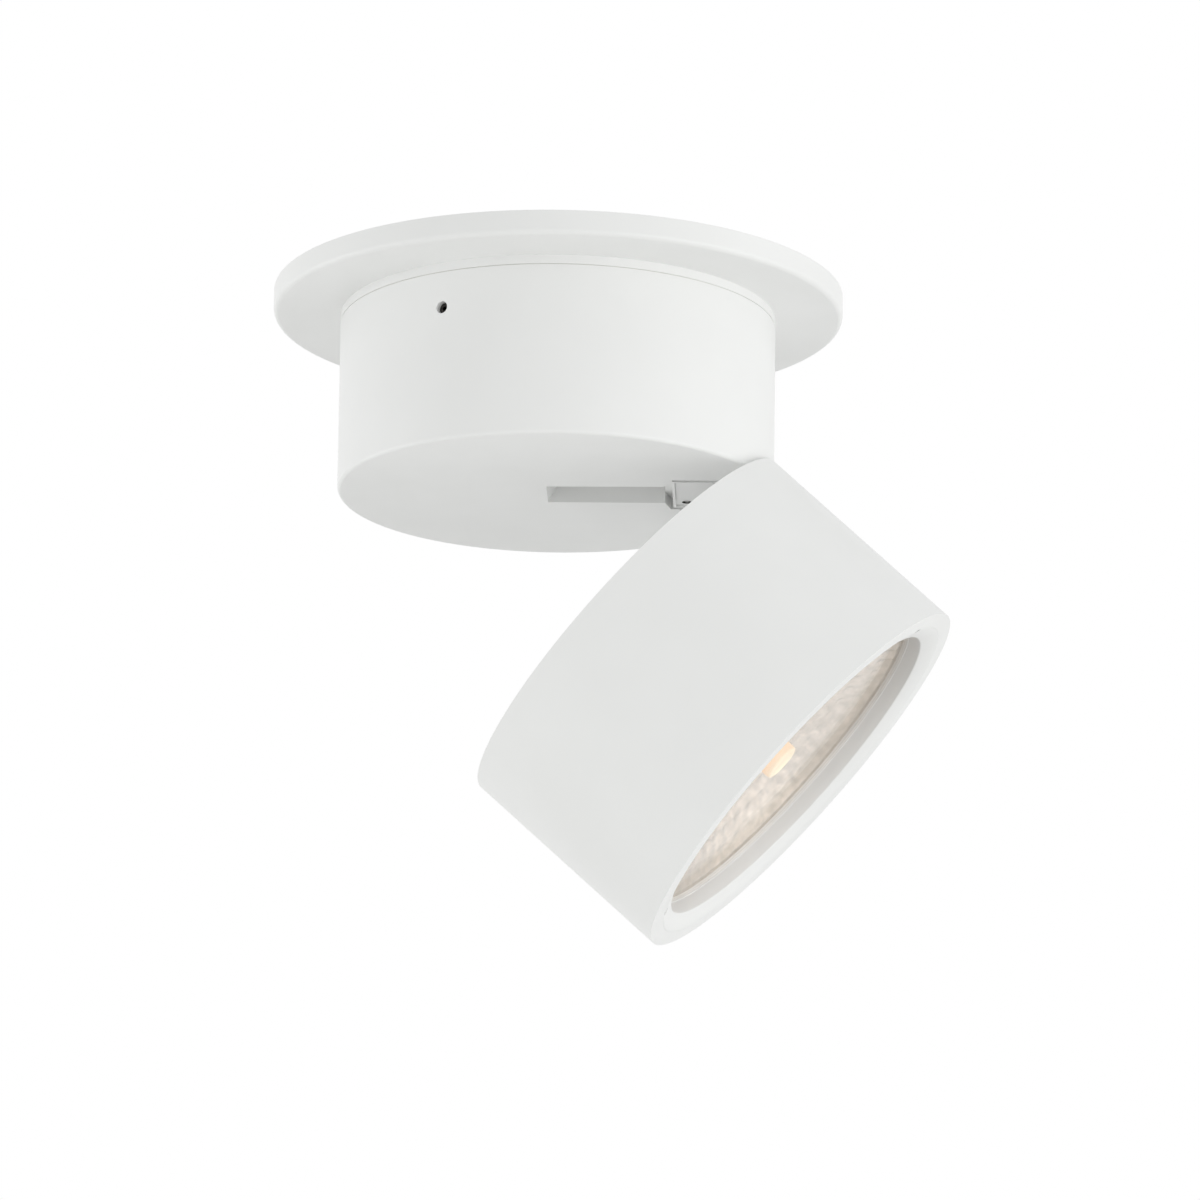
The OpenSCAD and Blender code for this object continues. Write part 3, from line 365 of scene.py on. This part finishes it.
def slot_of(node):
    for part in frame["record"]["subparts"]:
        if part["node"] == node:
            return part["material_slot"]


def at_front_seam(co):
    """Whether a point lies where the head's front edge and the front ring meet."""
    x, y, z = INTO_HEAD @ co
    return abs(-z - HEAD_L) < TIGHT and FRONT_R - 2 * TIGHT < math.hypot(x, y) < FRONT_R + TIGHT


def clean_copy(node, name):
    """A new mesh from a CAD node: flat faces joined up, corners marked for a small bevel."""
    bm = bmesh.new()
    bm.from_mesh(frame["nodes"][node].data)
    bmesh.ops.remove_doubles(bm, verts=bm.verts, dist=1e-7)
    bmesh.ops.dissolve_limit(
        bm, angle_limit=math.radians(0.3), verts=bm.verts, edges=bm.edges,
        use_dissolve_boundaries=False,
    )
    weight = bm.edges.layers.float.new("bevel_weight_edge")
    for edge in bm.edges:
        corner = edge.calc_face_angle(0) > math.radians(40)
        tight = corner and all(at_front_seam(v.co) for v in edge.verts)
        edge[weight] = 1.0 if corner and not tight else 0.0
        edge.smooth = not tight
    mesh = bpy.data.meshes.new(name)
    bm.to_mesh(mesh)
    bm.free()
    mesh.update()
    return mesh


def finish_piece(mesh, body, replaced, look, bevel_mm=None, sharp=None, smooth=True):
    """An object from a mesh, under the mesh's name, on its body and with its look.

    A bevel rounds the marked corners, and shading breaks at edges over sharp degrees.
    """
    for poly in mesh.polygons:
        poly.use_smooth = smooth
    obj = bpy.data.objects.new(mesh.name, mesh)
    bpy.context.scene.collection.objects.link(obj)
    mesh.materials.append(look)
    if bevel_mm:
        soft = obj.modifiers.new("edges", "BEVEL")
        soft.width = bevel_mm * MM
        soft.segments = 3
        soft.limit_method = "WEIGHT"
        soft.use_clamp_overlap = True
        soft.harden_normals = False
        weighted = obj.modifiers.new("shade", "WEIGHTED_NORMAL")
        weighted.keep_sharp = True
    if sharp:
        mesh.set_sharp_from_angle(angle=math.radians(sharp))
    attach(obj, body)
    if replaced:
        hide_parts(*replaced)


def circle(r, z, count):
    turns = [2 * math.pi * k / count for k in range(count)]
    return [(r * math.cos(a), r * math.sin(a), z) for a in turns]


def ring_faces(rows, count):
    """Faces between rows of points that go round, the last row joined to the first."""
    return [
        (
            i * count + k, i * count + (k + 1) % count,
            (i + 1) % rows * count + (k + 1) % count, (i + 1) % rows * count + k,
        )
        for i in range(rows) for k in range(count)
    ]


def closed_mesh(name, verts, faces, place):
    """A mesh of points in mm, put in place, with its faces turned outward."""
    mesh = bpy.data.meshes.new(name)
    mesh.from_pydata(verts, [], faces)
    mesh.transform(place)
    bm = bmesh.new()
    bm.from_mesh(mesh)
    bmesh.ops.remove_doubles(bm, verts=bm.verts, dist=1e-8)
    bmesh.ops.recalc_face_normals(bm, faces=bm.faces)
    bm.to_mesh(mesh)
    bm.free()
    return mesh


def turned(name, profile, count, place=HEAD_PLACE):
    """A mesh turned about Z from (radius, height) points, first and last joined."""
    verts = [point for r, z in profile for point in circle(r, z, count)]
    return closed_mesh(name, verts, ring_faces(len(profile), count), place)


def from_depths(profile):
    """(radius, depth) points of the head as (radius, height) points."""
    return [(r, -depth) for r, depth in profile]


# The head's own pieces
DIMPLES_ROUND, DIMPLE_ROWS, DIMPLE_POINTS = 54, 17, 6
DIMPLE_DEPTH = 0.09  # in mm, at a radius of 10 mm
BACK_POINTS = 16


def hammered_bowl(name):
    """The reflector: a bowl whose inside is beaten into staggered round dimples."""
    count, rings = DIMPLES_ROUND * DIMPLE_POINTS, DIMPLE_ROWS * DIMPLE_POINTS
    widening = math.log(BOWL_R / NECK_R)
    spread, height = BOWL_R ** 2 - NECK_R ** 2, FLANGE_FRONT - BOWL_BACK
    verts = []
    for i in range(rings + 1):
        r = NECK_R * math.exp(widening * i / rings)
        depth = BOWL_BACK + height * (r * r - NECK_R ** 2) / spread
        slope = 2 * r * height / spread
        size = math.hypot(1, slope)
        row, step = divmod(i, DIMPLE_POINTS)
        y = 2 * step / DIMPLE_POINTS - 1
        edge = min(1.0, min(i, rings - i) / DIMPLE_POINTS)
        for k in range(count):
            x = 2 * ((k / DIMPLE_POINTS + 0.5 * (row % 2)) % 1.0) - 1
            dip = DIMPLE_DEPTH * r / 10 * (1 - x * x) * (1 - y * y) * edge
            a = 2 * math.pi * k / count
            rr, dd = r + dip * slope / size, depth - dip / size
            verts.append((rr * math.cos(a), rr * math.sin(a), -dd))

    profile = [(LENS_R, FLANGE_FRONT), (LENS_R, FLANGE_FRONT - REFLECTOR_T)]
    for i in range(1, BACK_POINTS):
        t = 1 - i / BACK_POINTS
        profile.append((math.sqrt(NECK_R ** 2 + spread * t), BOWL_BACK + height * t - REFLECTOR_T))
    outer_neck = NECK_R + REFLECTOR_T
    profile += [(outer_neck, BOWL_BACK - REFLECTOR_T / 2), (outer_neck, HOLDER_FRONT)]
    profile += [(NECK_R, HOLDER_FRONT)]
    for r, z in from_depths(profile):
        verts += circle(r, z, count)
    return closed_mesh(name, verts, ring_faces(rings + 1 + len(profile), count), HEAD_PLACE)


def glass_pane(name, edge=0.15):
    profile = [
        (ON_AXIS, GASKET_FRONT), (LENS_R - edge, GASKET_FRONT), (LENS_R, GASKET_FRONT + edge),
        (LENS_R, GLASS_FRONT - edge), (LENS_R - edge, GLASS_FRONT), (ON_AXIS, GLASS_FRONT),
    ]
    return turned(name, from_depths(profile), 256)


def arc(cx, cy, r, start, end, steps):
    turn = [math.radians(start + (end - start) * i / steps) for i in range(steps + 1)]
    return [(cx + r * math.cos(a), cy + r * math.sin(a)) for a in turn]


def lens_seal(name, lip=0.15, slack=0.02):
    """The gasket, up round the glass's edge, so that it shows as a pale wall."""
    profile = arc(GASKET_IN + lip, FLANGE_FRONT + lip, lip, 180, 270, 4) + [
        (LENS_R, FLANGE_FRONT), (LENS_R, GLASS_FRONT - slack),
        (GASKET_IN + lip / 5, GLASS_FRONT - slack),
    ]
    return turned(name, from_depths(profile), 256)


def guide_rod(name, foot_round=0.4):
    """The light guide: a foot over the emitter and a rod with a rounded flat tip."""
    foot_front, emitter_front = BOARD_FRONT + GUIDE_FOOT_T, BOARD_FRONT + EMITTER_T
    tip = arc(GUIDE_R - GUIDE_TIP_R, GUIDE_TIP - GUIDE_TIP_R, GUIDE_TIP_R, 90, 0, 8)
    profile = [(ON_AXIS, GUIDE_TIP)] + tip + [
        (GUIDE_R, foot_front + foot_round), (GUIDE_R + foot_round, foot_front),
        (GUIDE_FOOT_R, foot_front), (GUIDE_FOOT_R, BOARD_FRONT),
        (EMITTER_R, BOARD_FRONT), (EMITTER_R, emitter_front), (ON_AXIS, emitter_front),
    ]
    return turned(name, from_depths(profile), 96)


def notched_ring(name, count=256, notch_edge=0.02, soft=0.2):
    """The wide sloping front ring, with a key notch at two places of its outer edge.

    Turns are in degrees. A notch starts and ends on a pair of turns that lie close together.
    """
    half = math.degrees(NOTCH_HALF_W / RING_OUT)
    outer = half + notch_edge
    turns = [(-180 + 360 * k / count, False) for k in range(count)]
    turns = [(a, cut) for a, cut in turns if all(abs(a - c) > outer for c in NOTCH_TURNS)]
    for c in NOTCH_TURNS:
        turns += [(c - outer, False), (c - half, True), (c + half, True), (c + outer, False)]
    turns.sort()

    flat_in, inner, floor = RING_OUT - RING_LAND, HEAD_L - RING_BEVEL, HEAD_L - NOTCH_DEPTH
    slope = RING_BEVEL / (flat_in - RING_R)
    whole_edge = [(RING_OUT, HEAD_L), (flat_in, HEAD_L)]
    cut_edge = [(RING_OUT, floor), (NOTCH_IN, floor)]
    rest = [
        (NOTCH_IN, inner + slope * (NOTCH_IN - RING_R)), (RING_R + soft, inner + slope * soft),
        (RING_R + soft / 4, inner - soft / 4), (RING_R, inner - soft),
        (RING_R, GLASS_FRONT), (RING_OUT, GLASS_FRONT),
    ]
    verts = []
    for turn, cut in turns:
        a = math.radians(turn)
        for r, depth in (cut_edge if cut else whole_edge) + rest:
            verts.append((r * math.cos(a), r * math.sin(a), -depth))
    return closed_mesh(name, verts, ring_faces(len(turns), 2 + len(rest)), HEAD_PLACE)


# Name, shape, slot, the node that it replaces, and the angle that its shading breaks at.
HEAD_PIECES = [
    ("reflector_hammered", hammered_bowl, "warm_reflector", "reflector", 50),
    ("front_glass_pane", glass_pane, "clear_glass", "front_glass", 30),
    ("lens_gasket_seal", lens_seal, "pale_silicone", "lens_gasket", 50),
    ("light_guide_frosted", guide_rod, "frosted_guide", "light_guide", 50),
    ("retaining_ring_finished", notched_ring, "white_paint", "retaining_ring", 35),
]


def make_head_pieces(mats):
    for name, shape, slot, replaced, sharp in HEAD_PIECES:
        finish_piece(shape(name), "lamp_head", [replaced], mats[slot], sharp=sharp)


# The drum's own small pieces
def slab(name, outline, low, high):
    """A flat plate from an outline seen from above, all its edges marked for a bevel."""
    n = len(outline)
    verts = [(x, y, z) for z in (low, high) for x, y in outline]
    faces = [tuple(range(n)), tuple(range(n, 2 * n))]
    faces += [(i, (i + 1) % n, n + (i + 1) % n, n + i) for i in range(n)]
    mesh = closed_mesh(name, verts, faces, drum_place())
    weights = mesh.attributes.new("bevel_weight_edge", "FLOAT", "EDGE")
    weights.data.foreach_set("value", [1.0] * len(mesh.edges))
    return mesh


def hinge_cover(name):
    """The plate in the hinge box, cut out round the earth screw's lug."""
    start, side = BOX_START + BOX_WALL + FIT, BOX_W / 2 - BOX_WALL - FIT
    lug_x, lug_y = BOX_START + BOX_LUG + FIT, BOX_W / 2 - BOX_LUG - FIT
    outline = [
        (start, -side), (COVER_END, -side), (COVER_END, side),
        (lug_x, side), (lug_x, lug_y), (start, lug_y),
    ]
    return slab(name, outline, LUG_RISE, LUG_RISE + COVER_T)


def pocket_trim(name):
    """The strip in the gap round the hinge box."""
    start, box_start = POCKET_START + FIT, BOX_START - FIT
    side, near, box = POCKET_W / 2 - FIT, SLOT_W / 2, BOX_W / 2 + FIT
    outline = [
        (start, -near), (start + POCKET_SLANT, -side), (TRIM_END, -side), (TRIM_END, -box),
        (box_start, -box), (box_start, box),
        (TRIM_END, box), (TRIM_END, side), (start + POCKET_SLANT, side), (start, near),
    ]
    return slab(name, outline, TRIM_RISE, TRIM_RISE + TRIM_T)


def earth_screw(name, chamfer=0.1):
    """A countersunk screw with a round recess and a pin in its middle."""
    pin, recess = LUG_RISE + RECESS_PIN_DEPTH, LUG_RISE + RECESS_DEPTH
    profile = [
        (ON_AXIS, pin), (RECESS_PIN_R, pin), (RECESS_PIN_R, recess), (RECESS_R, recess),
        (RECESS_R, LUG_RISE), (EARTH_HEAD_R, LUG_RISE),
        (EARTH_THREAD_R, recess + chamfer), (EARTH_THREAD_R, EARTH_END), (ON_AXIS, EARTH_END),
    ]
    return turned(name, profile, 48, drum_place(EARTH_X, EARTH_Y))


def make_drum_pieces(mats):
    for shape, name in ((hinge_cover, "hinge_cover"), (pocket_trim, "pocket_trim")):
        finish_piece(
            shape(name), "drum", [], mats["white_paint"], THIN_EDGE, smooth=False
        )
    finish_piece(
        earth_screw("earth_screw_painted"), "drum", ["earth_screw"],
        mats["painted_screw_recess_shade"], sharp=30,
    )


# Light and surroundings
# Each softbox's name, place, edge in metres and power in watts.
SOFTBOXES = [
    ("left", (-2.4, -0.6, -0.5), 1.8, 9.8),
    ("left_back", (-2.6, 0.6, -0.7), 1.8, 14),
    ("front_right", (2.0, -1.6, -0.9), 2.2, 25),
    ("right", (2.4, -0.7, -0.1), 1.8, 3.5),
    ("right_low", (2.4, 0.2, -1.0), 1.8, 3.5),
    ("front", (0.2, -2.2, -1.4), 1.8, 2.2),
]
LIT_POINT = Vector((0, 0, -0.08))
ROOM_LIGHT = 0.69
FLOOR_Z, FLOOR_HALF = -2.4, 20


def softbox(name, at, edge, power):
    data = bpy.data.lights.new(name, "AREA")
    data.shape = "RECTANGLE"
    data.size = data.size_y = edge
    data.energy = power
    obj = bpy.data.objects.new(name, data)
    bpy.context.scene.collection.objects.link(obj)
    obj.location = at
    obj.rotation_euler = (LIT_POINT - obj.location).to_track_quat("-Z", "Y").to_euler()


def seen_rays(nt):
    """1 for rays that the camera, a gloss or glass sends, 0 for the rays that light things."""
    path = add(nt, "LightPath").outputs
    total = path["Is Camera Ray"]
    for name in ("Is Glossy Ray", "Is Transmission Ray"):
        total = calculate(nt, "MAXIMUM", total, path[name])
    return total


def make_world():
    world = bpy.data.worlds.new("world")
    bpy.context.scene.world = world
    world.use_nodes = True
    nt = world.node_tree
    nt.nodes.clear()
    out = nt.nodes.new("ShaderNodeOutputWorld")
    light = add(nt, "Background", Color=(0.99, 1.0, 0.995, 1), Strength=ROOM_LIGHT)
    white = add(nt, "Background", Color=(1, 1, 1, 1), Strength=1.0)
    shown = mixed(nt, "MixShader", seen_rays(nt), light.outputs[0], white.outputs[0])
    nt.links.new(shown, out.inputs["Surface"])


def make_floor():
    mesh = bpy.data.meshes.new("floor")
    corners = [(-1, -1), (1, -1), (1, 1), (-1, 1)]
    verts = [(x * FLOOR_HALF, y * FLOOR_HALF, FLOOR_Z) for x, y in corners]
    mesh.from_pydata(verts, [], [(0, 1, 2, 3)])
    floor = bpy.data.objects.new("floor", mesh)
    bpy.context.scene.collection.objects.link(floor)
    mat, nt, out = new_material("floor_white")
    body = add(nt, "BsdfDiffuse")
    colour = ramp(nt, noise(nt, coords(nt), 400, 2), (0.72, 0.72, 0.71), (0.76, 0.76, 0.75))
    nt.links.new(colour, body.inputs["Color"])
    white = add(nt, "Emission", Color=(1, 1, 1, 1), Strength=1.0)
    shown = mixed(nt, "MixShader", seen_rays(nt), body.outputs[0], white.outputs[0])
    nt.links.new(shown, out.inputs["Surface"])
    mesh.materials.append(mat)


# The whole scene
make_camera()
materials = make_materials()

BEVELLED = [
    "canopy_plate", "swivel_collar", "drum_shell", "hinge_box", "head_shell", "back_cover",
    "hinge_arm", "wire_duct",
]
for node, obj in frame["nodes"].items():
    slot = slot_of(node)
    if node in BEVELLED:
        copy = clean_copy(node, node + "_finished")
        finish_piece(copy, body_of(node), [node], materials[slot], EDGE)
    else:
        obj.data.materials.clear()
        obj.data.materials.append(materials[slot])

make_head_pieces(materials)
make_drum_pieces(materials)

make_world()
make_floor()
for box in SOFTBOXES:
    softbox(*box)

bpy.context.scene.view_settings.view_transform = "Standard"
